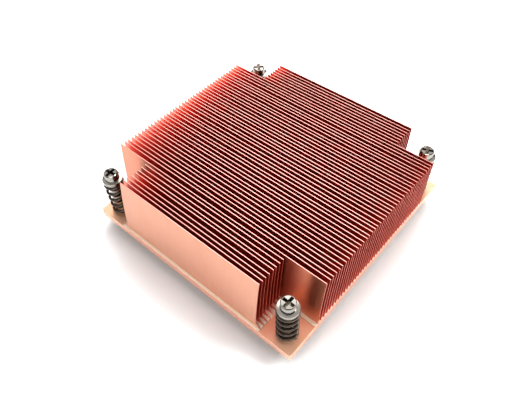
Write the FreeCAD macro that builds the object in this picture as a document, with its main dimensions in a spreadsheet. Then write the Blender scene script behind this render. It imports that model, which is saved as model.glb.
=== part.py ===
"""Passive server CPU heatsink: a skived copper block held down by four captive spring screws.

Millimetres.  +Z is up, away from the processor.  X runs along the fins (the way the air flows) and Y
across them.  The origin is the centre of the underside, which is the face that meets the processor.
"""
import FreeCAD, Part
import math
import os

import Sketcher
from FreeCAD import Vector

DOCUMENT = FreeCAD.newDocument("passive_heatsink")

# ---------------------------------------------------------------- driving dimensions
# alias: (value in millimetres unless the note says otherwise, note)
DRIVING = {
    "base_length": (91.5, "base plate, along the fins"),
    "base_width": (91.5, "base plate, across the fins"),
    "floor_height": (3.4, "underside to the floor between the fins"),
    "pad_height": (2.8, "underside to the top of a corner pad"),
    "pad_size": (12.75, "side of the square pad in each corner"),
    "corner_round": (1.0, "radius of the base plate's upright corners"),
    "fin_height": (25.0, "underside to the fin tips, the height of the block"),
    "fin_thickness": (0.3, "one shaved fin"),
    "fin_pitch": (1.639, "foot of one fin to the foot of the next"),
    "first_ledge": (1.05, "edge of the plate to the first fin's foot"),
    "last_ledge": (1.9, "least room left behind the last fin's foot"),
    "first_lean": (2.5, "how far the first fin's tip lies behind its foot"),
    "last_lean": (-0.4, "the same for the last fin, which stands almost upright"),
    "fin_bow": (0.4, "share of the lean reached at half height, no unit"),
    "notch_gap": (2.0, "strip of floor between a shortened fin and the pad"),
    "stub_rise": (1.8, "height of the sloping root left on that strip"),
    "root_depth": (0.5, "how deep a fin's root reaches into the plate"),
    "screw_inset": (5.75, "screw axis to the base plate's edges"),
    "thread_radius": (2.0, "M4 thread, plain cylinder at the major diameter"),
    "thread_length": (4.1, "threaded end with its chamfer"),
    "tip_chamfer": (0.5, "lead-in at the end of the thread"),
    "shoulder_radius": (2.3, "plain shank that the spring slides on"),
    "shoulder_gap": (0.3, "radial clearance of the shank in the pad's hole"),
    "groove_radius": (1.6, "bottom of the clip's groove"),
    "groove_play": (0.02, "clearance of the clip in its groove, above and below"),
    "land_length": (1.08, "collar between the groove and the thread"),
    "clip_thickness": (0.6, "E-clip sheet"),
    "clip_radius": (3.65, "E-clip outside radius"),
    "clip_grip_gap": (0.06, "radial clearance of the clip on the groove bottom"),
    "clip_mouth": (2.7, "width of the clip's open side"),
    "relief_radius": (0.95, "round reliefs beside the clip's back lug"),
    "relief_offset": (1.45, "clip axis to a relief's centre"),
    "clip_recess": (0.2, "underside up to the clip's lower face"),
    "counterbore_gap": (0.55, "radial room round the clip in its counterbore"),
    "flange_height": (18.1, "underside to the lower face of the screw's flange"),
    "flange_radius": (3.55, "flange that the spring pushes on"),
    "flange_thickness": (1.2, "flange"),
    "head_radius": (2.5, "cross-recessed head above the flange"),
    "head_rise": (2.9, "head above the flange"),
    "head_chamfer": (0.35, "broken top edge of the head"),
    "recess_width": (1.0, "one arm of the cross recess"),
    "recess_span": (3.9, "cross recess, tip to tip"),
    "recess_depth": (1.9, "cross recess"),
    "wire_radius": (0.525, "spring wire"),
    "wire_sides": (6, "flats that stand for the round of the wire, no unit"),
    "spring_gap": (0.375, "radial clearance of the spring on the shank"),
    "spring_turns": (5.5, "turns, closed ends included, no unit"),
    "end_turns": (0.75, "turns closed up at each end, no unit"),
    "end_gap": (0.05, "space between the closed turns"),
    "runs_per_turn": (10, "straight runs that one turn of wire is made of, no unit"),
    "overcut": (1.0, "how far a cut runs out past an edge"),
}

# ---------------------------------------------------------------- sizes that follow from them
FOLLOWING = {
    "half_length": "base_length / 2",
    "half_width": "base_width / 2",
    "pad_x": "half_length - pad_size",
    "pad_y": "half_width - pad_size",
    "cut_x": "half_length + overcut",
    "cut_y": "half_width + overcut",
    "pad_drop": "floor_height - pad_height",
    "screw_x": "half_length - screw_inset",
    "screw_y": "half_width - screw_inset",
    "short_reach": "pad_x - notch_gap",
    "hole_radius": "shoulder_radius + shoulder_gap",
    "counterbore_radius": "clip_radius + counterbore_gap",
    "counterbore_depth": "clip_recess + clip_thickness",
    "groove_low": "clip_recess - groove_play",
    "groove_high": "counterbore_depth + groove_play",
    "land_below": "land_length - groove_low",
    "tip_below": "land_below + thread_length",
    "lead_below": "tip_below - tip_chamfer",
    "tip_radius": "thread_radius - tip_chamfer",
    "flange_top": "flange_height + flange_thickness",
    "head_top": "flange_top + head_rise",
    "head_side": "head_top - head_chamfer",
    "head_flat": "head_radius - head_chamfer",
    "arm_side": "recess_width / 2",
    "arm_tip": "recess_span / 2",
    "clip_bore": "groove_radius + clip_grip_gap",
    "mouth_side": "clip_mouth / 2",
    "mouth_end": "clip_radius + overcut",
    "coil_radius": "shoulder_radius + spring_gap + wire_radius",
}

sizes = DOCUMENT.addObject("Spreadsheet::Sheet", "sizes")
row = 0
for alias, (value, note) in DRIVING.items():
    row += 1
    sizes.set(f"A{row}", note)
    sizes.set(f"B{row}", str(value))
    sizes.setAlias(f"B{row}", alias)
DOCUMENT.recompute()
for alias, formula in FOLLOWING.items():
    row += 1
    sizes.set(f"B{row}", f"={formula}")
    sizes.setAlias(f"B{row}", alias)
    DOCUMENT.recompute()


def size(alias):
    """The present value of a cell."""
    return float(sizes.get(alias))


# Which way each corner lies from the centre.
CORNERS = {
    "front_left": (-1, -1),
    "front_right": (1, -1),
    "back_right": (1, 1),
    "back_left": (-1, 1),
}


# ---------------------------------------------------------------- sketching
# A sketch point is a pair of aliases, each with a leading minus for the negative side, or "0".
def number(place):
    if place == "0":
        return 0.0
    return -size(place[1:]) if place.startswith("-") else size(place)


def hold(sketch, kind, element, end, place):
    """Hold one end of an element at its place along one axis of the sketch."""
    if place == "0":
        axis = -2 if kind == "DistanceX" else -1
        sketch.addConstraint(Sketcher.Constraint("PointOnObject", element, end, axis))
        return
    ends = (element, end, -1, 1) if place.startswith("-") else (-1, 1, element, end)
    held = sketch.addConstraint(Sketcher.Constraint(kind, *ends, abs(number(place))))
    sketch.setExpression(f"Constraints[{held}]", f"sizes.{place.lstrip('-')}")


def draw_outline(sketch, points):
    """A closed outline of straight lines, every corner held."""
    corners = [Vector(number(x), number(y), 0) for x, y in points]
    first = sketch.GeometryCount
    count = len(points)
    for step in range(count):
        line = Part.LineSegment(corners[step], corners[(step + 1) % count])
        sketch.addGeometry(line, False)
    for step in range(count):
        following = first + (step + 1) % count
        sketch.addConstraint(Sketcher.Constraint("Coincident", first + step, 2, following, 1))
    for step, (x, y) in enumerate(points):
        hold(sketch, "DistanceX", first + step, 1, x)
        hold(sketch, "DistanceY", first + step, 1, y)


def draw_circle(sketch, x, y, radius):
    centre = Vector(number(x), number(y), 0)
    circle = sketch.addGeometry(Part.Circle(centre, Vector(0, 0, 1), size(radius)), False)
    held = sketch.addConstraint(Sketcher.Constraint("Radius", circle, size(radius)))
    sketch.setExpression(f"Constraints[{held}]", f"sizes.{radius}")
    hold(sketch, "DistanceX", circle, 3, x)
    hold(sketch, "DistanceY", circle, 3, y)


def new_sketch(body, name, plane, raised_to=None):
    """A sketch on one of the body's own origin planes, or raised from it to a height."""
    sketch = body.newObject("Sketcher::SketchObject", name)
    for feature in body.Origin.OriginFeatures:
        if feature.Role == plane:
            sketch.AttachmentSupport = [(feature, "")]
    sketch.MapMode = "FlatFace"
    if raised_to:
        sketch.setExpression("AttachmentOffset.Base.z", f"sizes.{raised_to}")
    return sketch


def pad(body, sketch, height):
    feature = body.newObject("PartDesign::Pad", f"{sketch.Name}_pad")
    feature.Profile = sketch
    feature.setExpression("Length", f"sizes.{height}")
    DOCUMENT.recompute()
    return feature


def pocket(body, sketch, depth, upwards=False):
    """Cut a sketch into the body and make sure that it took material away."""
    before = body.Shape.Volume
    feature = body.newObject("PartDesign::Pocket", f"{sketch.Name}_pocket")
    feature.Profile = sketch
    feature.Reversed = upwards
    feature.setExpression("Length", f"sizes.{depth}")
    DOCUMENT.recompute()
    if not body.Shape.Volume < before:
        raise RuntimeError(f"{sketch.Name} cuts nothing")
    return feature


def round_edges(body, base, name, radius, chosen):
    """Fillet the edges of the last feature that the test picks."""
    feature = body.newObject("PartDesign::Fillet", name)
    names = [f"Edge{i}" for i, edge in enumerate(base.Shape.Edges, start=1) if chosen(edge)]
    feature.Base = (base, names)
    feature.setExpression("Radius", f"sizes.{radius}")
    DOCUMENT.recompute()
    return feature


def toward(sign, alias):
    return alias if sign > 0 else f"-{alias}"


def stand_at_corner(piece, sign_x, sign_y):
    piece.setExpression("Placement.Base.x", f"{sign_x} * sizes.screw_x")
    piece.setExpression("Placement.Base.y", f"{sign_y} * sizes.screw_y")


# ---------------------------------------------------------------- base plate
# One copper plate.  Each corner is milled down to a square pad, drilled for the screw's shank, and
# counterbored from below so that the clip stays above the contact face.
def make_base_plate():
    body = DOCUMENT.addObject("PartDesign::Body", "base_plate")
    outline = new_sketch(body, "plate_outline", "XY_Plane")
    draw_outline(outline, [("-half_length", "-half_width"), ("half_length", "-half_width"),
                           ("half_length", "half_width"), ("-half_length", "half_width")])
    plate = pad(body, outline, "floor_height")

    def upright(edge):
        return abs(edge.tangentAt(edge.FirstParameter).z) > 0.99

    round_edges(body, plate, "plate_corners", "corner_round", upright)

    pads = new_sketch(body, "corner_pads", "XY_Plane", raised_to="floor_height")
    holes = new_sketch(body, "screw_holes", "XY_Plane")
    counterbores = new_sketch(body, "clip_counterbores", "XY_Plane")
    for sign_x, sign_y in CORNERS.values():
        inner_x, outer_x = toward(sign_x, "pad_x"), toward(sign_x, "cut_x")
        inner_y, outer_y = toward(sign_y, "pad_y"), toward(sign_y, "cut_y")
        draw_outline(pads, [(inner_x, inner_y), (outer_x, inner_y),
                            (outer_x, outer_y), (inner_x, outer_y)])
        axis = (toward(sign_x, "screw_x"), toward(sign_y, "screw_y"))
        draw_circle(holes, *axis, "hole_radius")
        draw_circle(counterbores, *axis, "counterbore_radius")
    pocket(body, pads, "pad_drop")
    pocket(body, holes, "floor_height", upwards=True)
    pocket(body, counterbores, "counterbore_depth", upwards=True)
    return body


# ---------------------------------------------------------------- skived fins
# Each fin is shaved off the block and stood up.  The first ones lean back over the next, and the lean
# fades out towards the last.  Beside the corner pads the fins are shorter, and milling the notch has
# left a sloping stub of each one's root on the strip of floor next to the pad.
def fin_places():
    """Foot and lean of every fin, from the first ledge to the last."""
    first = -size("half_width") + size("first_ledge")
    last = size("half_width") - size("last_ledge")
    count = int((last - first) / size("fin_pitch")) + 1
    change = (size("last_lean") - size("first_lean")) / (count - 1)
    return [(first + k * size("fin_pitch"), size("first_lean") + k * change) for k in range(count)]


def fin_section(foot, lean):
    """Cross-section of one fin in the YZ plane, its two faces bowed alike."""
    low = size("floor_height") - size("root_depth")
    base = size("floor_height")
    high = size("fin_height")
    half = size("fin_thickness") / 2

    def along(side):
        y = foot + side
        middle = Vector(0, y + lean * size("fin_bow"), (base + high) / 2)
        return Vector(0, y, low), Vector(0, y, base), middle, Vector(0, y + lean, high)

    front_low, front_base, front_middle, front_tip = along(-half)
    back_low, back_base, back_middle, back_tip = along(half)
    edges = [
        Part.makeLine(front_low, front_base),
        Part.Arc(front_base, front_middle, front_tip).toShape(),
        Part.makeLine(front_tip, back_tip),
        Part.Arc(back_tip, back_middle, back_base).toShape(),
        Part.makeLine(back_base, back_low),
        Part.makeLine(back_low, front_low),
    ]
    return Part.Face(Part.Wire(edges))


def raise_fins(places, reach):
    """The fins at these places, reaching as far either way along X."""
    fins = []
    for foot, lean in places:
        section = fin_section(foot, lean)
        section.translate(Vector(-reach, 0, 0))
        fins.append(section.extrude(Vector(2 * reach, 0, 0)))
    return Part.Compound(fins)


def side_outline():
    """What a shortened fin looks like from the front: upright ends above two sloping stubs."""
    low = size("floor_height") - size("root_depth") - size("overcut")
    base = size("floor_height")
    shoulder = base + size("stub_rise")
    high = size("fin_height") + size("overcut")
    right = [(size("pad_x"), low), (size("pad_x"), base), (size("short_reach"), shoulder),
             (size("short_reach"), high)]
    left = [(-x, z) for x, z in reversed(right)]
    corners = [Vector(x, -size("cut_y"), z) for x, z in right + left]
    outline = Part.Face(Part.makePolygon(corners + corners[:1]))
    return outline.extrude(Vector(0, 2 * size("cut_y"), 0))


def make_fins(name, places, shortened):
    fins = DOCUMENT.addObject("Part::Feature", name)
    if shortened:
        fins.Shape = raise_fins(places, size("pad_x")).common(side_outline())
    else:
        fins.Shape = raise_fins(places, size("half_length"))
    return fins


def make_heatsink_body():
    def beside_pads(place):
        return abs(place[0]) + size("fin_thickness") / 2 > size("pad_y")

    places = fin_places()
    front = [place for place in places if beside_pads(place) and place[0] < 0]
    middle = [place for place in places if not beside_pads(place)]
    back = [place for place in places if beside_pads(place) and place[0] > 0]
    print("fins:", len(front), len(middle), len(back))
    block = DOCUMENT.addObject("Part::MultiFuse", "heatsink_body")
    block.Shapes = [
        make_base_plate(),
        make_fins("front_fins", front, shortened=True),
        make_fins("middle_fins", middle, shortened=False),
        make_fins("back_fins", back, shortened=True),
    ]
    block.Refine = True
    return block


# ---------------------------------------------------------------- captive screw
# A turned shoulder screw: chamfered M4 end, collar, clip groove, long plain shank, flange for the
# spring, and a head with a cross recess.
def make_captive_screw(name, sign_x, sign_y):
    body = DOCUMENT.addObject("PartDesign::Body", name)
    profile = new_sketch(body, f"{name}_profile", "XZ_Plane")
    draw_outline(profile, [
        ("0", "-tip_below"),
        ("tip_radius", "-tip_below"),
        ("thread_radius", "-lead_below"),
        ("thread_radius", "-land_below"),
        ("shoulder_radius", "-land_below"),
        ("shoulder_radius", "groove_low"),
        ("groove_radius", "groove_low"),
        ("groove_radius", "groove_high"),
        ("shoulder_radius", "groove_high"),
        ("shoulder_radius", "flange_height"),
        ("flange_radius", "flange_height"),
        ("flange_radius", "flange_top"),
        ("head_radius", "flange_top"),
        ("head_radius", "head_side"),
        ("head_flat", "head_top"),
        ("0", "head_top"),
    ])
    turned = body.newObject("PartDesign::Revolution", f"{name}_turned")
    turned.Profile = profile
    turned.ReferenceAxis = (profile, ["V_Axis"])
    turned.Angle = 360
    DOCUMENT.recompute()

    recess = new_sketch(body, f"{name}_recess", "XY_Plane", raised_to="head_top")
    draw_outline(recess, [
        ("arm_side", "arm_side"), ("arm_side", "arm_tip"), ("-arm_side", "arm_tip"),
        ("-arm_side", "arm_side"), ("-arm_tip", "arm_side"), ("-arm_tip", "-arm_side"),
        ("-arm_side", "-arm_side"), ("-arm_side", "-arm_tip"), ("arm_side", "-arm_tip"),
        ("arm_side", "-arm_side"), ("arm_tip", "-arm_side"), ("arm_tip", "arm_side"),
    ])
    pocket(body, recess, "recess_depth")
    stand_at_corner(body, sign_x, sign_y)
    return body


# ---------------------------------------------------------------- retaining clip
# A stamped spring-steel E-clip pushed into the screw's groove from the side.  It bears on the ceiling
# of the counterbore and so holds the screw in against its spring.
def make_retaining_clip(name, sign_x, sign_y):
    body = DOCUMENT.addObject("PartDesign::Body", name)
    blank = new_sketch(body, f"{name}_blank", "XY_Plane", raised_to="clip_recess")
    draw_circle(blank, "0", "0", "clip_radius")
    pad(body, blank, "clip_thickness")

    bore = new_sketch(body, f"{name}_bore", "XY_Plane", raised_to="clip_recess")
    draw_circle(bore, "0", "0", "clip_bore")
    pocket(body, bore, "clip_thickness", upwards=True)

    mouth = new_sketch(body, f"{name}_mouth", "XY_Plane", raised_to="clip_recess")
    draw_outline(mouth, [("-mouth_side", "0"), ("mouth_side", "0"),
                         ("mouth_side", "mouth_end"), ("-mouth_side", "mouth_end")])
    pocket(body, mouth, "clip_thickness", upwards=True)

    reliefs = new_sketch(body, f"{name}_reliefs", "XY_Plane", raised_to="clip_recess")
    draw_circle(reliefs, "relief_offset", "0", "relief_radius")
    draw_circle(reliefs, "-relief_offset", "0", "relief_radius")
    pocket(body, reliefs, "clip_thickness", upwards=True)
    stand_at_corner(body, sign_x, sign_y)
    return body


# ---------------------------------------------------------------- compression spring
# Round wire between the corner pad and the flange, closed up at both ends.  The coil is made of
# straight mitred runs, and the wire is a bar with a few flats.
def spring_height(turn):
    """Height of the wire's centre after so many turns."""
    wire = size("wire_radius")
    turns = size("spring_turns")
    ends = size("end_turns")
    closed_pitch = 2 * wire + size("end_gap")
    bottom = size("pad_height") + wire
    top = size("flange_height") - wire
    rise = top - bottom - 2 * ends * closed_pitch
    open_pitch = rise / (turns - 2 * ends)
    if turn < ends:
        return bottom + turn * closed_pitch
    if turn > turns - ends:
        return top - (turns - turn) * closed_pitch
    return bottom + ends * closed_pitch + (turn - ends) * open_pitch


def wire_section(start, along):
    """The wire's outline square to its first run, with one corner straight up."""
    upwards = Vector(start.x, start.y, 0).cross(along).normalize()
    sideways = upwards.cross(along).normalize()
    sides = round(size("wire_sides"))
    corners = []
    for step in range(sides):
        angle = 2 * math.pi * step / sides
        spoke = upwards * math.cos(angle) + sideways * math.sin(angle)
        corners.append(start + spoke * size("wire_radius"))
    return Part.makePolygon(corners + corners[:1])


def make_spring(name, sign_x, sign_y):
    runs = round(size("spring_turns") * size("runs_per_turn"))
    radius = size("coil_radius")
    path = []
    for step in range(runs + 1):
        turn = size("spring_turns") * step / runs
        angle = 2 * math.pi * turn
        path.append(Vector(radius * math.cos(angle), radius * math.sin(angle), spring_height(turn)))
    section = wire_section(path[0], path[1] - path[0])
    mitred = 1
    spring = DOCUMENT.addObject("Part::Feature", name)
    spring.Shape = Part.makePolygon(path).makePipeShell([section], True, False, mitred)
    stand_at_corner(spring, sign_x, sign_y)
    return spring


# ---------------------------------------------------------------- assembly
pieces = {"heatsink_body": make_heatsink_body()}
for corner, signs in CORNERS.items():
    pieces[f"captive_screw_{corner}"] = make_captive_screw(f"captive_screw_{corner}", *signs)
    pieces[f"retaining_clip_{corner}"] = make_retaining_clip(f"retaining_clip_{corner}", *signs)
    pieces[f"spring_{corner}"] = make_spring(f"spring_{corner}", *signs)
DOCUMENT.recompute()

for piece_name, piece in pieces.items():
    piece.Label = piece_name

for item in DOCUMENT.Objects:
    if "Invalid" in item.State or "Error" in item.State:
        raise RuntimeError(f"{item.Name} failed: {item.State}")
for piece_name, piece in pieces.items():
    shape = piece.Shape
    if shape.isNull() or not shape.isValid() or len(shape.Solids) != 1:
        raise RuntimeError(f"{piece_name} is not one valid solid")

os.makedirs("parts", exist_ok=True)
for piece_name, piece in pieces.items():
    piece.Shape.exportStep(f"parts/{piece_name}.step")
    print(f"{piece_name}: {piece.Shape.Volume:.2f} mm3, {len(piece.Shape.Faces)} faces")
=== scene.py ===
"""The looks of a passive copper heatsink for a server processor.

Metres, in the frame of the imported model: +Z up, X along the fins, -Y towards the bare front ledge.
"""
import math

import bmesh
import bpy
from mathutils import Matrix, Vector


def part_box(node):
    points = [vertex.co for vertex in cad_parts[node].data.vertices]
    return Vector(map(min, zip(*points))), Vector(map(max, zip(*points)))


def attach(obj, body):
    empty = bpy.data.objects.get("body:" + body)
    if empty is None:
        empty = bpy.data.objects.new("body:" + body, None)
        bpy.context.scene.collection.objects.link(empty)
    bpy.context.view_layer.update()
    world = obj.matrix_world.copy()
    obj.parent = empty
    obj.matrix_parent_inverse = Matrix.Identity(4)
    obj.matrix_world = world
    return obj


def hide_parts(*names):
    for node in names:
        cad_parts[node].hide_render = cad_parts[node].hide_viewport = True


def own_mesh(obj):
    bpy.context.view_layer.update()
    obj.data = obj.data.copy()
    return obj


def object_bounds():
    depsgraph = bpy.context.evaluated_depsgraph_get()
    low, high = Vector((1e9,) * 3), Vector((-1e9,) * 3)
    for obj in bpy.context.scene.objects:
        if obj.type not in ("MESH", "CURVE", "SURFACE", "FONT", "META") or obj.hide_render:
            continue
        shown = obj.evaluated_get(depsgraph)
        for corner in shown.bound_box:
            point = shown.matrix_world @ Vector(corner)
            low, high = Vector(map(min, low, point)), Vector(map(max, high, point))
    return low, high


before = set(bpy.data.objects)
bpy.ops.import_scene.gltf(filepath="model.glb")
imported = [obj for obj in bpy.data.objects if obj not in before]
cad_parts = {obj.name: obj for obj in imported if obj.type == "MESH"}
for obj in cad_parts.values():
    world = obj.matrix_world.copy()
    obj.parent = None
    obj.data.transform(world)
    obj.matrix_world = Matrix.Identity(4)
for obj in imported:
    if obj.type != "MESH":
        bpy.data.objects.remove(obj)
cad_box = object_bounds()
MM = 0.001


# ================================================================ studio
# A white seamless table under three soft lamps: a large one behind on the left, a small one on the
# right and a strip in front.  The part stands on its screw ends, so the table is at its lowest point.
table_height = cad_box[0][2]
table_reach = 3.0
shadow_reach = 0.03
white_from, white_at = 0.16, 0.40


def new_material(name):
    """A material with nothing in it but its output."""
    material = bpy.data.materials.new(name)
    material.use_nodes = True
    nodes = material.node_tree.nodes
    nodes.clear()
    output = nodes.new("ShaderNodeOutputMaterial")
    return material, nodes, material.node_tree.links, output


def plain_mesh(name, bm):
    """Turns finished mesh work into an object that sits at the origin."""
    mesh = bpy.data.meshes.new(name)
    bm.to_mesh(mesh)
    bm.free()
    piece = bpy.data.objects.new(name, mesh)
    bpy.context.collection.objects.link(piece)
    return piece


def seen_rays(nodes, links):
    """One for camera, glossy and transmission rays, and zero for those that only carry light."""
    path = nodes.new("ShaderNodeLightPath")
    seen = path.outputs["Is Camera Ray"]
    for ray in ("Is Glossy Ray", "Is Transmission Ray"):
        either = nodes.new("ShaderNodeMath")
        either.operation = "MAXIMUM"
        links.new(seen, either.inputs[0])
        links.new(path.outputs[ray], either.inputs[1])
        seen = either.outputs[0]
    return seen


def stretched(nodes, links, value, low, high, new_low=0.0, new_high=1.0):
    """The value with the range from low to high moved to the new one, and held at its ends."""
    spread = nodes.new("ShaderNodeMapRange")
    limits = {"From Min": low, "From Max": high, "To Min": new_low, "To Max": new_high}
    for label, limit in limits.items():
        spread.inputs[label].default_value = limit
    links.new(value, spread.inputs["Value"])
    return spread.outputs["Result"]


table_material, nodes, links, output = new_material("white_table")
cloth = nodes.new("ShaderNodeBsdfDiffuse")
seen = seen_rays(nodes, links)

# The table's colour follows an ambient occlusion node: near the part it is darkened, a painted shadow
# added to the lamps' own, and further out it is raised well over white, so the open table turns plain
# white and only the shadow close to the part stays.
painted_shadow_occlusion = nodes.new("ShaderNodeAmbientOcclusion")
painted_shadow_occlusion.samples = 8
painted_shadow_occlusion.inputs["Distance"].default_value = shadow_reach
painted_shadow_colour = nodes.new("ShaderNodeVectorMath")
painted_shadow_colour.operation = "SCALE"
painted_shadow_colour.inputs[0].default_value = (1.0, 1.06, 1.07)
painted_shadow_gain = stretched(nodes, links, painted_shadow_occlusion.outputs["AO"], 0.53, 0.86, 0.84, 2.1)
links.new(painted_shadow_gain, painted_shadow_colour.inputs["Scale"])
white_with_painted_shadow = nodes.new("ShaderNodeMix")
white_with_painted_shadow.data_type = "RGBA"
white_with_painted_shadow.clamp_result = False
white_with_painted_shadow.inputs["A"].default_value = (0.88, 0.88, 0.88, 1)
links.new(painted_shadow_colour.outputs["Vector"], white_with_painted_shadow.inputs["B"])
links.new(seen, white_with_painted_shadow.inputs["Factor"])
links.new(white_with_painted_shadow.outputs["Result"], cloth.inputs["Color"])

# Far from the part, where the lamps no longer reach, the table runs out into plain white.
place_on_table = nodes.new("ShaderNodeTexCoord")
distance = nodes.new("ShaderNodeVectorMath")
distance.operation = "LENGTH"
links.new(place_on_table.outputs["Object"], distance.inputs[0])
far_and_seen = nodes.new("ShaderNodeMath")
far_and_seen.operation = "MULTIPLY"
far_off = stretched(nodes, links, distance.outputs["Value"], white_from, white_at)
links.new(far_off, far_and_seen.inputs[0])
links.new(seen, far_and_seen.inputs[1])
plain_white = nodes.new("ShaderNodeEmission")
fade = nodes.new("ShaderNodeMixShader")
links.new(far_and_seen.outputs["Value"], fade.inputs["Fac"])
links.new(cloth.outputs["BSDF"], fade.inputs[1])
links.new(plain_white.outputs["Emission"], fade.inputs[2])
links.new(fade.outputs["Shader"], output.inputs["Surface"])

bm = bmesh.new()
bmesh.ops.create_grid(bm, x_segments=1, y_segments=1, size=table_reach)
bmesh.ops.translate(bm, verts=bm.verts, vec=(0, 0, table_height))
table = plain_mesh("table", bm)
table.data.materials.append(table_material)


def soft_light(name, place, size, power):
    """A rectangular lamp that faces the part."""
    light = bpy.data.lights.new(name, "AREA")
    light.shape = "RECTANGLE"
    light.size, light.size_y = size
    light.energy = power
    lamp = bpy.data.objects.new(name, light)
    lamp.location = place
    lamp.rotation_euler = (-Vector(place)).to_track_quat("-Z", "Y").to_euler()
    bpy.context.collection.objects.link(lamp)


soft_light("back_softbox", (-0.28, 0.36, 0.52), (0.42, 0.42), 2.0)
soft_light("right_softbox", (0.45, 0.30, 0.45), (0.24, 0.24), 2.0)
soft_light("front_strip", (0.30, -0.42, 0.50), (0.60, 0.06), 1.15)

# What the rays see of the room is white with one dark band, which gives the round metal its contrast.
world = bpy.data.worlds.new("studio")
world.use_nodes = True
bpy.context.scene.world = world
nodes, links = world.node_tree.nodes, world.node_tree.links
nodes.clear()
output = nodes.new("ShaderNodeOutputWorld")
compass = nodes.new("ShaderNodeTexCoord")
direction = nodes.new("ShaderNodeSeparateXYZ")
walls = nodes.new("ShaderNodeValToRGB")
band = walls.color_ramp.elements
band[0].position, band[1].position = 0.28, 0.60
band[0].color = band[1].color = (1, 1, 1, 1)
for level in (0.33, 0.54):
    band.new(level).color = (0.08, 0.08, 0.08, 1)
links.new(compass.outputs["Generated"], direction.inputs[0])
links.new(direction.outputs["Z"], walls.inputs["Fac"])
room_seen = nodes.new("ShaderNodeBackground")
room_seen.inputs["Strength"].default_value = 1.0
links.new(walls.outputs["Color"], room_seen.inputs["Color"])
room_felt = nodes.new("ShaderNodeBackground")
room_felt.inputs["Color"].default_value = (0.96, 0.97, 1, 1)
room_felt.inputs["Strength"].default_value = 0.30
choose = nodes.new("ShaderNodeMixShader")
links.new(seen_rays(nodes, links), choose.inputs["Fac"])
links.new(room_felt.outputs[0], choose.inputs[1])
links.new(room_seen.outputs[0], choose.inputs[2])
links.new(choose.outputs[0], output.inputs["Surface"])
bpy.context.scene.view_settings.view_transform = "Standard"
bpy.context.scene.cycles.max_bounces = 16
bpy.context.scene.cycles.glossy_bounces = 14

# The camera looks down over the front right corner.
camera_place = (0.0819, -0.0969, 0.1499)
camera_turn = math.radians(42.0)
camera_tilt = math.radians(39.3)
camera_roll = math.radians(-1.9)
camera_data = bpy.data.cameras.new("camera")
camera_data.sensor_width = 36.0
camera_data.lens = 34.79
camera_data.clip_start = 0.01
camera = bpy.data.objects.new("camera", camera_data)
camera.matrix_world = (
    Matrix.Translation(camera_place)
    @ Matrix.Rotation(camera_turn, 4, "Z")
    @ Matrix.Rotation(camera_tilt, 4, "X")
    @ Matrix.Rotation(camera_roll, 4, "Z")
)
bpy.context.collection.objects.link(camera)
bpy.context.scene.camera = camera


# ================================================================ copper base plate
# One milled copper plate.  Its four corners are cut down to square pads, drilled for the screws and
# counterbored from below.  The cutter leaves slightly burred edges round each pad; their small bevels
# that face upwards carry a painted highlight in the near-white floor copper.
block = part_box("heatsink_body")
half_length, half_width, fin_top = block[1]
floor_height = 3.4 * MM
pad_height = 2.8 * MM
pad_size = 12.75 * MM
pad_inner_x = half_length - pad_size
pad_inner_y = half_width - pad_size
corners = {"front_left": (-1, -1), "front_right": (1, -1), "back_right": (1, 1), "back_left": (-1, 1)}
screw_inset = 5.75 * MM
screw_x = half_length - screw_inset
screw_y = half_width - screw_inset
hole_radius = 2.6 * MM
counterbore_radius = 4.2 * MM
counterbore_depth = 0.8 * MM
corner_radius = 1.0 * MM
run_out = 2 * MM


def add_block(bm, low, high):
    """A box between two corners."""
    size = [b - a for a, b in zip(low, high)]
    middle = [(a + b) / 2 for a, b in zip(low, high)]
    made = bmesh.ops.create_cube(bm, size=1.0)["verts"]
    bmesh.ops.scale(bm, verts=made, vec=size)
    bmesh.ops.translate(bm, verts=made, vec=middle)


def drums(name, radius, low, high):
    """One upright drum on the axis of each screw."""
    bm = bmesh.new()
    for sign_x, sign_y in corners.values():
        made = bmesh.ops.create_cone(bm, cap_ends=True, segments=64, radius1=radius, radius2=radius,
                                     depth=high - low)["verts"]
        bmesh.ops.translate(bm, verts=made, vec=(sign_x * screw_x, sign_y * screw_y, (low + high) / 2))
    return plain_mesh(name, bm)


def applied(piece):
    """Replaces a piece's mesh by what its modifiers make of it."""
    graph = bpy.context.evaluated_depsgraph_get()
    graph.update()
    made = bpy.data.meshes.new_from_object(piece.evaluated_get(graph))
    piece.modifiers.clear()
    piece.data = made
    return piece


def cut_away(piece, cutter):
    """Takes the cutter's shape out of a piece, and drops the cutter."""
    carve = piece.modifiers.new("cut", "BOOLEAN")
    carve.operation = "DIFFERENCE"
    carve.solver = "EXACT"
    carve.object = cutter
    applied(piece)
    bpy.data.objects.remove(cutter)


bm = bmesh.new()
add_block(bm, (-half_length, -half_width, 0), (half_length, half_width, floor_height))
upright = [e for e in bm.edges if abs(e.verts[0].co.z - e.verts[1].co.z) > pad_height]
bmesh.ops.bevel(bm, geom=upright, offset=corner_radius, segments=5, affect="EDGES", profile=0.5)
plate = plain_mesh("copper_plate", bm)

bm = bmesh.new()
for sign_x, sign_y in corners.values():
    xs = sorted((sign_x * pad_inner_x, sign_x * (half_length + run_out)))
    ys = sorted((sign_y * pad_inner_y, sign_y * (half_width + run_out)))
    add_block(bm, (xs[0], ys[0], pad_height), (xs[1], ys[1], floor_height + run_out))
cut_away(plate, plain_mesh("pad_cutter", bm))

cut_away(plate, drums("drill", hole_radius, -run_out, floor_height + run_out))
cut_away(plate, drums("counterbore", counterbore_radius, -run_out, counterbore_depth))

edge_break = plate.modifiers.new("edge_break", "BEVEL")
edge_break.width = 0.16 * MM
edge_break.segments = 2
edge_break.limit_method = "ANGLE"
edge_break.angle_limit = math.radians(40)
applied(plate)


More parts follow.
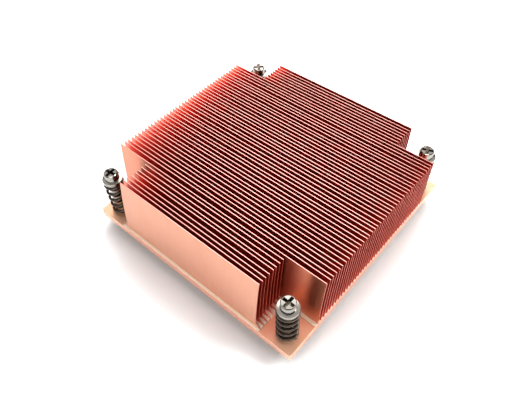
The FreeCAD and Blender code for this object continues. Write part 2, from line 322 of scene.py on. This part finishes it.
def metal(name, colour, second_colour, roughness, grain, drift_scale=60.0, bump=0.05,
          stretch=(0.02, 1, 1), follow=None):
    """A bare metal whose colour drifts between two tones and whose fine lines run along one axis, or
    round the piece where it follows the piece's own attribute."""
    material, nodes, links, output = new_material(name)
    surface = nodes.new("ShaderNodeBsdfPrincipled")
    surface.inputs["Metallic"].default_value = 1.0
    links.new(surface.outputs["BSDF"], output.inputs["Surface"])
    place = nodes.new("ShaderNodeTexCoord")

    drift = nodes.new("ShaderNodeTexNoise")
    drift.inputs["Scale"].default_value = drift_scale
    drift.inputs["Detail"].default_value = 4.0
    links.new(place.outputs["Object"], drift.inputs["Vector"])
    tone = nodes.new("ShaderNodeMix")
    tone.data_type = "RGBA"
    tone.inputs["A"].default_value = (*colour, 1)
    tone.inputs["B"].default_value = (*second_colour, 1)
    links.new(drift.outputs["Fac"], tone.inputs["Factor"])
    links.new(tone.outputs["Result"], surface.inputs["Base Color"])

    squeeze = nodes.new("ShaderNodeMapping")
    if follow:
        own_place = nodes.new("ShaderNodeAttribute")
        own_place.attribute_name = follow
        links.new(own_place.outputs["Vector"], squeeze.inputs["Vector"])
    else:
        squeeze.inputs["Scale"].default_value = stretch
        links.new(place.outputs["Object"], squeeze.inputs["Vector"])
    lines = nodes.new("ShaderNodeTexNoise")
    lines.inputs["Scale"].default_value = grain
    lines.inputs["Detail"].default_value = 5.0
    links.new(squeeze.outputs["Vector"], lines.inputs["Vector"])
    rough = stretched(nodes, links, lines.outputs["Fac"], 0.0, 1.0, *roughness)
    links.new(rough, surface.inputs["Roughness"])
    relief = nodes.new("ShaderNodeBump")
    relief.inputs["Strength"].default_value = bump
    relief.inputs["Distance"].default_value = 0.05 * MM
    links.new(lines.outputs["Fac"], relief.inputs["Height"])
    links.new(relief.outputs["Normal"], surface.inputs["Normal"])
    return material


# Fresh cut copper is a bright salmon metal.  The cutter's lines on it run along X.
# The up-facing floor round the fins and the upward edge bevels are near-white: a painted highlight.
PAD, FLOOR, SIDE = range(3)
plate.data.materials.clear()
for finish in (
    metal("milled_copper", (1.0, 0.63, 0.43), (1.0, 0.52, 0.33), (0.40, 0.56), 900.0, bump=0.2),
    metal("floor_painted_highlight", (1.0, 0.94, 0.84), (1.0, 0.86, 0.66), (0.60, 0.75), 900.0, bump=0.1),
    metal("sawn_side", (1.0, 0.56, 0.40), (0.95, 0.46, 0.32), (0.34, 0.50), 900.0, bump=0.2),
):
    plate.data.materials.append(finish)
# Floor faces that point up and the slanted edge bevels take the near-white copper, a painted highlight.
for face in plate.data.polygons:
    upward, middle = face.normal.z, face.center
    on_floor = upward > 0.9 and abs(middle.z - floor_height) < 0.05 * MM
    on_rim = 0.3 < upward < 0.9
    outside = abs(upward) < 0.3 and max(abs(middle.x), abs(middle.y)) > pad_inner_x
    face.material_index = FLOOR if on_floor or on_rim else SIDE if outside else PAD
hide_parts("heatsink_body")
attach(plate, "root")


# ================================================================ skived fins
# Fifty-five fins, each shaved up out of the same block by a planing blade and left standing on its
# root.  The first lean back over the next ones.  Beside the pads they are shorter, with a sloping stub.
fin_rise = fin_top - floor_height
fin_thickness = 0.3 * MM
tip_thinning = 0.25
fin_pitch = 1.639 * MM
first_foot = -half_width + 1.05 * MM
fin_count = 55
first_lean = 2.5 * MM
last_lean = -0.4 * MM
fin_bow = 0.4
tip_wander = 0.16 * MM
notch_gap = 2.0 * MM
short_reach = pad_inner_x - notch_gap
stub_rise = 1.8 * MM
root_depth = 0.5 * MM
front_short = 8
back_short = 7


def fin_blank(name, rows, columns=24):
    """An upright blade in the XZ plane from rows of (height, reach), thinner at the tip."""
    bm = bmesh.new()
    sheets = []
    for side in (-0.5, 0.5):
        grid = []
        for z, reach in rows:
            thickness = fin_thickness * (1 - tip_thinning * max(0, z - floor_height) / fin_rise)
            grid.append([bm.verts.new((reach * (2 * c / columns - 1), side * thickness, z))
                         for c in range(columns + 1)])
        sheets.append(grid)
    near, far = sheets
    last = len(rows) - 1
    for r in range(last):
        for c in range(columns):
            bm.faces.new((near[r][c], near[r][c + 1], near[r + 1][c + 1], near[r + 1][c]))
            bm.faces.new((far[r][c], far[r + 1][c], far[r + 1][c + 1], far[r][c + 1]))
        bm.faces.new((near[r][0], near[r + 1][0], far[r + 1][0], far[r][0]))
        bm.faces.new((near[r][columns], far[r][columns], far[r + 1][columns], near[r + 1][columns]))
    for c in range(columns):
        bm.faces.new((near[last][c], near[last][c + 1], far[last][c + 1], far[last][c]))
        bm.faces.new((near[0][c], far[0][c], far[0][c + 1], near[0][c + 1]))
    return plain_mesh(name, bm)


rows_up = 7
long_rows = [(floor_height - root_depth, half_length)]
long_rows += [(floor_height + fin_rise * k / rows_up, half_length) for k in range(rows_up + 1)]
stub_top = floor_height + stub_rise
short_rows = [(floor_height - root_depth, pad_inner_x), (floor_height, pad_inner_x),
              (stub_top, short_reach)]
short_rows += [(stub_top + (fin_top - stub_top) * k / rows_up, short_reach)
               for k in range(1, rows_up + 1)]
long_blank = fin_blank("long_fin", long_rows)
short_blank = fin_blank("short_fin", short_rows)

grown = {"bump": 0.12, "stretch": (1, 1, 0.03)}
face_copper = metal("skived_face", (0.70, 0.36, 0.25), (0.66, 0.31, 0.21), (0.40, 0.54), 700.0, **grown)
# Inner faces: a deeper, darker red, painted shade and inter-reflection between the fins.
gap_painted_shade = metal("skived_gap_painted_shade", (0.86, 0.22, 0.145), (0.76, 0.16, 0.10), (0.24, 0.38), 700.0, **grown)
# The wall beside the front notches: a darker red, painted shade.
wall_painted_shade = metal("notch_wall_painted_shade", (0.76, 0.27, 0.165), (0.67, 0.21, 0.12), (0.26, 0.38), 700.0, **grown)
# Sheared tips: a lighter pink on the faces that point up, a painted highlight.
tip_painted_highlight = metal("sheared_tip_painted_highlight", (0.88, 0.42, 0.37), (0.80, 0.33, 0.28), (0.25, 0.40), 900.0, bump=0.1)
# Cut ends: a darker red, painted shade.
end_painted_shade = metal("sawn_end_painted_shade", (0.80, 0.25, 0.19), (0.68, 0.18, 0.125), (0.35, 0.50), 900.0, **grown)


def new_tree(name, inputs):
    """An empty node tree with these named inputs, its nodes and links, and the inputs' sockets."""
    tree = bpy.data.node_groups.new(name, "GeometryNodeTree")
    tree.interface.new_socket("Geometry", in_out="OUTPUT", socket_type="NodeSocketGeometry")
    tree.interface.new_socket("Geometry", in_out="INPUT", socket_type="NodeSocketGeometry")
    for label, kind in inputs.items():
        tree.interface.new_socket(label, in_out="INPUT", socket_type=f"NodeSocket{kind}")
    return tree, tree.nodes, tree.links, tree.nodes.new("NodeGroupInput").outputs


fin_row, nodes, links, given = new_tree("fin_row", {
    "Blank": "Object", "Count": "Int", "First Number": "Int", "First Foot": "Float", "Pitch": "Float",
    "First Lean": "Float", "Lean Change": "Float", "Floor": "Float", "Rise": "Float", "Bow": "Float",
    "Tip Wander": "Float", "Seed": "Int", "Gap": "Material", "Face": "Material", "Tip": "Material",
    "Wall": "Material", "First Long": "Int", "End": "Material", "Last Number": "Int",
})


def node(kind, **settings):
    """A new node in the tree at work, which is the one that nodes and links belong to."""
    made = nodes.new(kind)
    for setting, value in settings.items():
        setattr(made, setting, value)
    return made


def plug(socket, value):
    """Feeds an input from another node's output, or sets it to a plain value."""
    if isinstance(value, bpy.types.NodeSocket):
        links.new(value, socket)
    else:
        socket.default_value = value


def math_node(operation, first, second=0.0, third=0.0):
    """The result of one operation on outputs and plain values."""
    made = node("ShaderNodeMath", operation=operation)
    for socket, value in zip(made.inputs, (first, second, third)):
        plug(socket, value)
    return made.outputs[0]


feet = node("GeometryNodeMeshLine", mode="OFFSET")
plug(feet.inputs["Count"], given["Count"])
start = node("ShaderNodeCombineXYZ")
plug(start.inputs["Y"], given["First Foot"])
stride = node("ShaderNodeCombineXYZ")
plug(stride.inputs["Y"], given["Pitch"])
plug(feet.inputs["Start Location"], start.outputs[0])
plug(feet.inputs["Offset"], stride.outputs[0])

counter = node("GeometryNodeInputIndex")
fin_number = math_node("ADD", counter.outputs[0], given["First Number"])
numbered = node("GeometryNodeStoreNamedAttribute", data_type="FLOAT", domain="POINT")
plug(numbered.inputs["Geometry"], feet.outputs["Mesh"])
plug(numbered.inputs["Name"], "fin")
plug(numbered.inputs["Value"], fin_number)


def blanks_on(points, turn=(0, 0, 0)):
    """The given blank set on each point and made real."""
    blank = node("GeometryNodeObjectInfo", transform_space="ORIGINAL")
    plug(blank.inputs["Object"], given["Blank"])
    stood = node("GeometryNodeInstanceOnPoints")
    plug(stood.inputs["Points"], points)
    plug(stood.inputs["Instance"], blank.outputs["Geometry"])
    plug(stood.inputs["Rotation"], turn)
    solid = node("GeometryNodeRealizeInstances")
    plug(solid.inputs["Geometry"], stood.outputs["Instances"])
    return solid.outputs["Geometry"]


upright_fins = blanks_on(numbered.outputs["Geometry"])
stored_number = node("GeometryNodeInputNamedAttribute", data_type="FLOAT")
plug(stored_number.inputs["Name"], "fin")
number = stored_number.outputs["Attribute"]
position = node("GeometryNodeInputPosition")
split = node("ShaderNodeSeparateXYZ")
plug(split.inputs[0], position.outputs[0])
along, height = split.outputs["X"], split.outputs["Z"]

# The share of the fin's rise, and the bow a x^2 + b x that passes through the bow share at half height.
above = math_node("SUBTRACT", height, given["Floor"])
share = math_node("MAXIMUM", math_node("DIVIDE", above, given["Rise"]), 0.0)
square_part = math_node("SUBTRACT", 2.0, math_node("MULTIPLY", given["Bow"], 4.0))
line_part = math_node("SUBTRACT", 1.0, square_part)
bent = math_node("MULTIPLY", share, math_node("MULTIPLY_ADD", share, square_part, line_part))

# Each tip wanders a little from the even row, as a whole and along its length.
tip_random = node("FunctionNodeRandomValue", data_type="FLOAT")
plug(tip_random.inputs[2], -1.0)
plug(tip_random.inputs[3], 1.0)
plug(tip_random.inputs["ID"], number)
plug(tip_random.inputs["Seed"], given["Seed"])
wave_place = node("ShaderNodeCombineXYZ")
plug(wave_place.inputs["X"], math_node("MULTIPLY", along, 25.0))
plug(wave_place.inputs["Y"], math_node("MULTIPLY", number, 0.7))
wave = node("ShaderNodeTexNoise")
plug(wave.inputs["Vector"], wave_place.outputs[0])
plug(wave.inputs["Scale"], 1.0)
plug(wave.inputs["Detail"], 1.0)
wavy = math_node("SUBTRACT", wave.outputs["Fac"], 0.5)
wander = math_node("ADD", tip_random.outputs[1], math_node("MULTIPLY", wavy, 1.5))
lean = math_node("MULTIPLY_ADD", number, given["Lean Change"], given["First Lean"])
tip_shift = math_node("MULTIPLY_ADD", wander, given["Tip Wander"], lean)
shift = node("ShaderNodeCombineXYZ")
plug(shift.inputs["Y"], math_node("MULTIPLY", tip_shift, bent))
leaned = node("GeometryNodeSetPosition")
plug(leaned.inputs["Geometry"], upright_fins)
plug(leaned.inputs["Offset"], shift.outputs[0])

# Inner faces, the bare wall beside the front notches, cut ends, sheared tips and the two outermost
# faces each get their own copper.  The outermost faces keep the plain one; the inner faces are a deeper
# red, painted shade and inter-reflection between the fins; the wall and the cut ends a darker red,
# painted shade;
# the tips a lighter pink, a painted highlight.
facing = node("ShaderNodeSeparateXYZ")
plug(facing.inputs[0], node("GeometryNodeInputNormal").outputs[0])


def both(first, second):
    """One where both conditions hold."""
    return math_node("MULTIPLY", first, second)


def finished(geometry, label, chosen=True):
    """The geometry with the given finish on its chosen faces."""
    finish = node("GeometryNodeSetMaterial")
    plug(finish.inputs["Geometry"], geometry)
    plug(finish.inputs["Selection"], chosen)
    plug(finish.inputs["Material"], given[label])
    return finish.outputs["Geometry"]


is_end = math_node("GREATER_THAN", math_node("ABSOLUTE", facing.outputs["X"]), 0.7)
is_tip = math_node("GREATER_THAN", facing.outputs["Z"], 0.7)
faces_front = math_node("LESS_THAN", facing.outputs["Y"], -0.7)
faces_back = math_node("GREATER_THAN", facing.outputs["Y"], 0.7)
is_wall = both(math_node("COMPARE", number, given["First Long"], 0.5), faces_front)
is_front = both(math_node("LESS_THAN", number, 0.5), faces_front)
is_last = math_node("GREATER_THAN", number, math_node("SUBTRACT", given["Last Number"], 0.5))
is_outermost = math_node("MAXIMUM", is_front, both(is_last, faces_back))
row = finished(leaned.outputs["Geometry"], "Gap")
for label, chosen in (("Wall", is_wall), ("End", is_end), ("Tip", is_tip), ("Face", is_outermost)):
    row = finished(row, label, chosen)
plug(node("NodeGroupOutput").inputs[0], row)


def grow(name, tree, values):
    """A plain mesh made by a node tree from these inputs, set by their sockets' identifiers."""
    piece = plain_mesh(name, bmesh.new())
    maker = piece.modifiers.new("maker", "NODES")
    maker.node_group = tree
    for item in tree.interface.items_tree:
        if item.in_out == "INPUT" and item.name in values:
            maker[item.identifier] = values[item.name]
    return applied(piece)


def fin_group(name, first_number, count, blank):
    """Some neighbouring fins of one length, as one piece."""
    return grow(name, fin_row, {
        "Blank": blank, "Count": count, "First Number": first_number,
        "First Foot": first_foot + first_number * fin_pitch, "Pitch": fin_pitch,
        "First Lean": first_lean, "Lean Change": (last_lean - first_lean) / (fin_count - 1),
        "Floor": floor_height, "Rise": fin_rise, "Bow": fin_bow, "Tip Wander": tip_wander, "Seed": 7,
        "Gap": gap_painted_shade, "Face": face_copper, "Tip": tip_painted_highlight, "Wall": wall_painted_shade,
        "End": end_painted_shade, "First Long": front_short, "Last Number": fin_count - 1,
    })


long_count = fin_count - front_short - back_short
for name, first_number, count, blank in (
    ("front_fins", 0, front_short, short_blank),
    ("middle_fins", front_short, long_count, long_blank),
    ("back_fins", front_short + long_count, back_short, short_blank),
):
    fins = fin_group(name, first_number, count, blank)
    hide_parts("heatsink_body")
    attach(fins, "root")
bpy.data.objects.remove(long_blank)
bpy.data.objects.remove(short_blank)


# ================================================================ compression springs
# One coil of nickel-plated wire on each screw, held between the pad and the screw's flange.  The first
# and last turns are wound close so that each end sits flat.
flange_low = 18.1 * MM
shank_radius = 2.3 * MM
wire_radius = 0.52 * MM
coil_radius = 3.2 * MM
spring_turns = 5.5
end_turns = 0.75
closed_pitch = 1.1 * MM
free_length = flange_low - pad_height

wound_spring, nodes, links, given = new_tree("wound_spring", {
    "Foot": "Vector", "Length": "Float", "Coil Radius": "Float", "Wire Radius": "Float",
    "Turns": "Float", "End Turns": "Float", "Closed Pitch": "Float", "Points a Turn": "Int",
    "Sides": "Int", "Wire": "Material",
})
wire_steps = math_node("ROUND", math_node("MULTIPLY", given["Turns"], given["Points a Turn"]))
wire_line = node("GeometryNodeMeshLine", mode="OFFSET")
plug(wire_line.inputs["Count"], math_node("ADD", wire_steps, 1.0))
wire_share = math_node("DIVIDE", node("GeometryNodeInputIndex").outputs[0], wire_steps)
turn = math_node("MULTIPLY", wire_share, given["Turns"])
angle = math_node("MULTIPLY", turn, 2 * math.pi)

# Height of the wire's centre: close turns, open turns, close turns.
open_turns = math_node("SUBTRACT", given["Turns"], math_node("MULTIPLY", given["End Turns"], 2.0))
wire_span = math_node("SUBTRACT", given["Length"], math_node("MULTIPLY", given["Wire Radius"], 2.0))
closed_rise = math_node("MULTIPLY", given["End Turns"], given["Closed Pitch"])
open_rise = math_node("SUBTRACT", wire_span, math_node("MULTIPLY", closed_rise, 2.0))
into_open = math_node("SUBTRACT", turn, given["End Turns"])
open_share = math_node("DIVIDE", into_open, open_turns)
open_share = math_node("MINIMUM", math_node("MAXIMUM", open_share, 0.0), 1.0)
closed_share = math_node("SUBTRACT", turn, math_node("MULTIPLY", open_share, open_turns))
closed_climb = math_node("MULTIPLY", closed_share, given["Closed Pitch"])
climb = math_node("MULTIPLY_ADD", open_share, open_rise, closed_climb)
climb = math_node("ADD", climb, given["Wire Radius"])
coil_place = node("ShaderNodeCombineXYZ")
plug(coil_place.inputs["X"], math_node("MULTIPLY", math_node("COSINE", angle), given["Coil Radius"]))
plug(coil_place.inputs["Y"], math_node("MULTIPLY", math_node("SINE", angle), given["Coil Radius"]))
plug(coil_place.inputs["Z"], climb)
at_corner = node("ShaderNodeVectorMath", operation="ADD")
plug(at_corner.inputs[0], coil_place.outputs[0])
plug(at_corner.inputs[1], given["Foot"])
wound = node("GeometryNodeSetPosition")
plug(wound.inputs["Geometry"], wire_line.outputs["Mesh"])
plug(wound.inputs["Position"], at_corner.outputs[0])
centre_line = node("GeometryNodeMeshToCurve")
plug(centre_line.inputs["Mesh"], wound.outputs["Geometry"])
wire_round = node("GeometryNodeCurvePrimitiveCircle", mode="RADIUS")
plug(wire_round.inputs["Resolution"], given["Sides"])
plug(wire_round.inputs["Radius"], given["Wire Radius"])
drawn = node("GeometryNodeCurveToMesh")
plug(drawn.inputs["Curve"], centre_line.outputs["Curve"])
plug(drawn.inputs["Profile Curve"], wire_round.outputs["Curve"])
plug(drawn.inputs["Fill Caps"], True)
placed = node("GeometryNodeRealizeInstances")
plug(placed.inputs["Geometry"], drawn.outputs["Mesh"])
plug(node("NodeGroupOutput").inputs[0], finished(placed.outputs["Geometry"], "Wire"))

spring_wire = metal("nickel_plated_wire", (0.11, 0.085, 0.068), (0.045, 0.035, 0.028), (0.02, 0.06),
                    1400.0, drift_scale=350.0, bump=0.08, stretch=(1, 1, 1))


def smooth_shaded(piece, degrees):
    """Shades a piece smooth apart from its edges sharper than this."""
    piece.data.shade_smooth()
    piece.data.set_sharp_from_angle(angle=math.radians(degrees))


for corner, (sign_x, sign_y) in corners.items():
    foot = (sign_x * screw_x, sign_y * screw_y, pad_height)
    spring = grow(f"coil_{corner}", wound_spring, {
        "Foot": foot, "Length": free_length, "Coil Radius": coil_radius, "Wire Radius": wire_radius,
        "Turns": spring_turns, "End Turns": end_turns, "Closed Pitch": closed_pitch,
        "Points a Turn": 36, "Sides": 14, "Wire": spring_wire,
    })
    smooth_shaded(spring, 50)
    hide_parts(f"spring_{corner}")
    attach(spring, "root")
    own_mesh(spring)


# ================================================================ captive screws
# Turned steel shoulder screws with a bright nickel plate: a cross-recessed head on a round flange, a
# plain shank, a groove for the clip, and a rolled M4 end.
tip_low = -5.0 * MM
tip_radius = 1.5 * MM
thread_low = -4.5 * MM
thread_radius = 2.0 * MM
thread_pitch = 0.7 * MM
thread_depth = 0.43 * MM
collar_low = -0.9 * MM
thread_end = collar_low - 0.05 * MM
groove_low = 0.18 * MM
groove_high = 0.82 * MM
groove_radius = 1.6 * MM
flange_high = 19.3 * MM
flange_radius = 3.55 * MM
head_high = 22.2 * MM
head_radius = 2.5 * MM
head_chamfer = 0.3 * MM
edge_ease = 0.1 * MM
turned_corners = [
    (tip_radius, tip_low), (thread_radius, thread_low), (thread_radius, collar_low),
    (shank_radius, collar_low), (shank_radius, groove_low), (groove_radius, groove_low),
    (groove_radius, groove_high), (shank_radius, groove_high), (shank_radius, flange_low),
    (flange_radius, flange_low), (flange_radius, flange_high), (head_radius, flange_high),
    (head_radius, head_high - head_chamfer), (head_radius - head_chamfer, head_high),
]


def eased(points, ease):
    """The outline with each inner corner swapped for a three-point curve this far along its sides."""
    points = [Vector(point) for point in points]
    line = [points[0]]
    for before, corner, after in zip(points, points[1:], points[2:]):
        start = corner + (before - corner).normalized() * min(ease, (before - corner).length * 0.4)
        end = corner + (after - corner).normalized() * min(ease, (after - corner).length * 0.4)
        line += [start, (start + 2 * corner + end) / 4, end]
    return line + [points[-1]]


def thread_cut(z, angle):
    """How far the rolled thread lies below its crest here."""
    if not tip_low <= z <= collar_low:
        return 0.0
    run_out = min(1.0, (collar_low - z) / (0.6 * MM))
    wave = abs(2 * ((z / thread_pitch - angle / (2 * math.pi)) % 1.0) - 1)
    return thread_depth * run_out * min(1.0, max(0.0, 1.33 * wave - 0.17))


rings_per_turn = 8
ring_count = 45
plain_outline = eased(turned_corners, edge_ease)
first_ring = tip_low + 0.06 * MM
ring_heights = [first_ring + k * thread_pitch / rings_per_turn for k in range(1, ring_count + 1)]
thread_outline = [point for point in plain_outline if point.y < thread_end]
thread_outline += [Vector((thread_radius if z > thread_low else tip_radius + z - tip_low, z))
                   for z in ring_heights if z < collar_low - 0.15 * MM]
outline = sorted(thread_outline, key=lambda point: point.y)
outline += [point for point in plain_outline if point.y >= thread_end]
sides = 48
bm = bmesh.new()
turned = bm.verts.layers.float_vector.new("turned")
rings = []
for radius, z in outline:
    ring = []
    for k in range(sides):
        angle = 2 * math.pi * k / sides
        r = min(radius, thread_radius - thread_cut(z, angle)) if z < thread_end else radius
        vert = bm.verts.new((r * math.cos(angle), r * math.sin(angle), z))
        vert[turned] = (r, z, 0)
        ring.append(vert)
    rings.append(ring)
for low_ring, high_ring in zip(rings, rings[1:]):
    for k in range(sides):
        j = (k + 1) % sides
        bm.faces.new((low_ring[k], low_ring[j], high_ring[j], high_ring[k]))
bm.faces.new(list(reversed(rings[0])))
bm.faces.new(rings[-1])
screw_blank = plain_mesh("screw_blank", bm)

# The cross recess is punched, so its arms narrow towards the bottom.
bm = bmesh.new()
cross = []
for depth, arm_side, arm_tip in ((-0.2, 0.58, 2.16), (1.9, 0.30, 1.30)):
    spots = [(arm_side, arm_side), (arm_side, arm_tip), (-arm_side, arm_tip), (-arm_side, arm_side),
             (-arm_tip, arm_side), (-arm_tip, -arm_side), (-arm_side, -arm_side), (-arm_side, -arm_tip),
             (arm_side, -arm_tip), (arm_side, -arm_side), (arm_tip, -arm_side), (arm_tip, arm_side)]
    cross.append([bm.verts.new((x * MM, y * MM, head_high - depth * MM)) for x, y in spots])
punch_top, punch_bottom = cross
bm.faces.new(punch_top)
bm.faces.new(list(reversed(punch_bottom)))
for k in range(12):
    j = (k + 1) % 12
    bm.faces.new((punch_bottom[k], punch_bottom[j], punch_top[j], punch_top[k]))
bmesh.ops.recalc_face_normals(bm, faces=bm.faces)
cut_away(screw_blank, plain_mesh("cross_punch", bm))

fit_at_corner, nodes, links, given = new_tree("fit_at_corner", {
    "Blank": "Object", "Place": "Vector", "Turn": "Vector", "Finish": "Material",
})
spot = node("GeometryNodeMeshLine", mode="OFFSET")
plug(spot.inputs["Count"], 1)
plug(spot.inputs["Start Location"], given["Place"])
fitted = blanks_on(spot.outputs["Mesh"], given["Turn"])
plug(node("NodeGroupOutput").inputs[0], finished(fitted, "Finish"))

screw_nickel = metal("bright_nickel", (0.40, 0.37, 0.33), (0.24, 0.22, 0.19), (0.08, 0.20), 1500.0,
                     drift_scale=300.0, bump=0.08, follow="turned")
recess_turns = {"front_left": 8, "front_right": 0, "back_right": 20, "back_left": 45}
for corner, (sign_x, sign_y) in corners.items():
    screw = grow(f"screw_{corner}", fit_at_corner, {
        "Blank": screw_blank, "Place": (sign_x * screw_x, sign_y * screw_y, 0),
        "Turn": (0, 0, math.radians(recess_turns[corner])), "Finish": screw_nickel,
    })
    smooth_shaded(screw, 28)
    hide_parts(f"captive_screw_{corner}")
    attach(screw, f"screw_{corner}")
bpy.data.objects.remove(screw_blank)


# ================================================================ retaining clips
# A stamped E-clip of oiled spring steel in each screw's groove.  It bears on the ceiling of the
# counterbore and keeps the screw in the plate.
clip_steel = metal("oiled_spring_steel", (0.20, 0.19, 0.18), (0.11, 0.105, 0.11), (0.24, 0.42), 1300.0,
                   drift_scale=500.0, bump=0.12, stretch=(1, 1, 1))
for corner in corners:
    clip = bpy.data.objects[f"retaining_clip_{corner}"]
    for seat in clip.material_slots:
        seat.material = clip_steel
